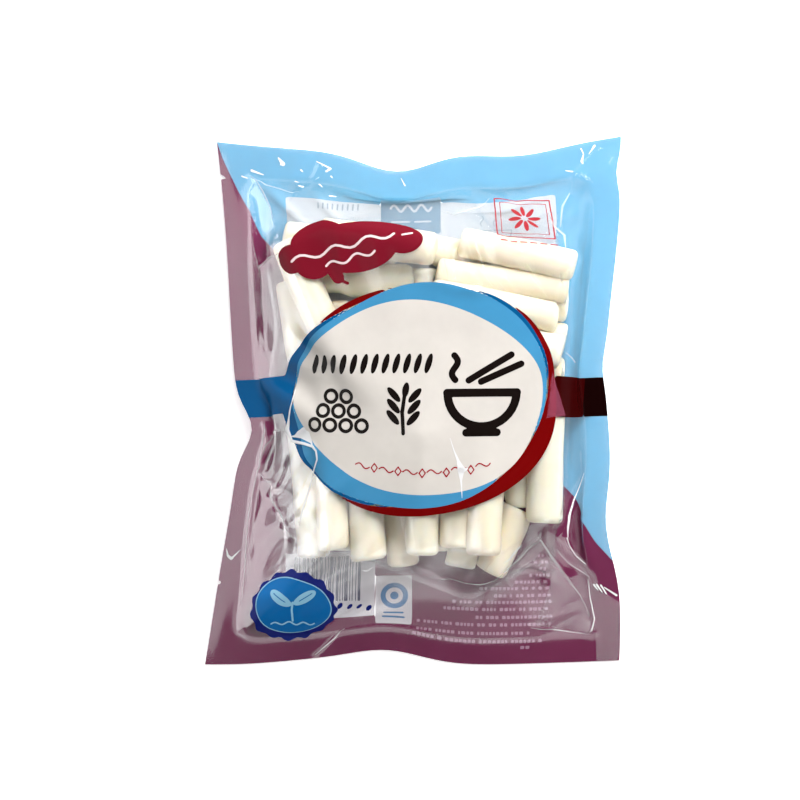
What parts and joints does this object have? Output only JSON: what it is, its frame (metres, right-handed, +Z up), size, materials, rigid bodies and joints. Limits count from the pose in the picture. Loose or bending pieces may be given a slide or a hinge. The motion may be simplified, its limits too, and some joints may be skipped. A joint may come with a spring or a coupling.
{
  "type": "sealed pouch of rice cake sticks",
  "caption": "Flat heat-sealed food pouch lying on its back, its film drawn over a filling of round rice cake sticks that ridge and bulge the front.",
  "frame": {"origin": "under the middle of the pouch, on the surface it lies on", "axes": "+Z up out of the printed front, +Y along the pouch from the bottom seal to the top seal, +X across it to the right as the front is seen"},
  "size_m": [0.183, 0.2322, 0.0334],
  "materials": {
    "film": "clear glossy film with printed areas",
    "rice_cake": "moist smooth ivory"
  },
  "bodies": {
    "root": {"pouch": "film"}
  },
  "joints": []
}
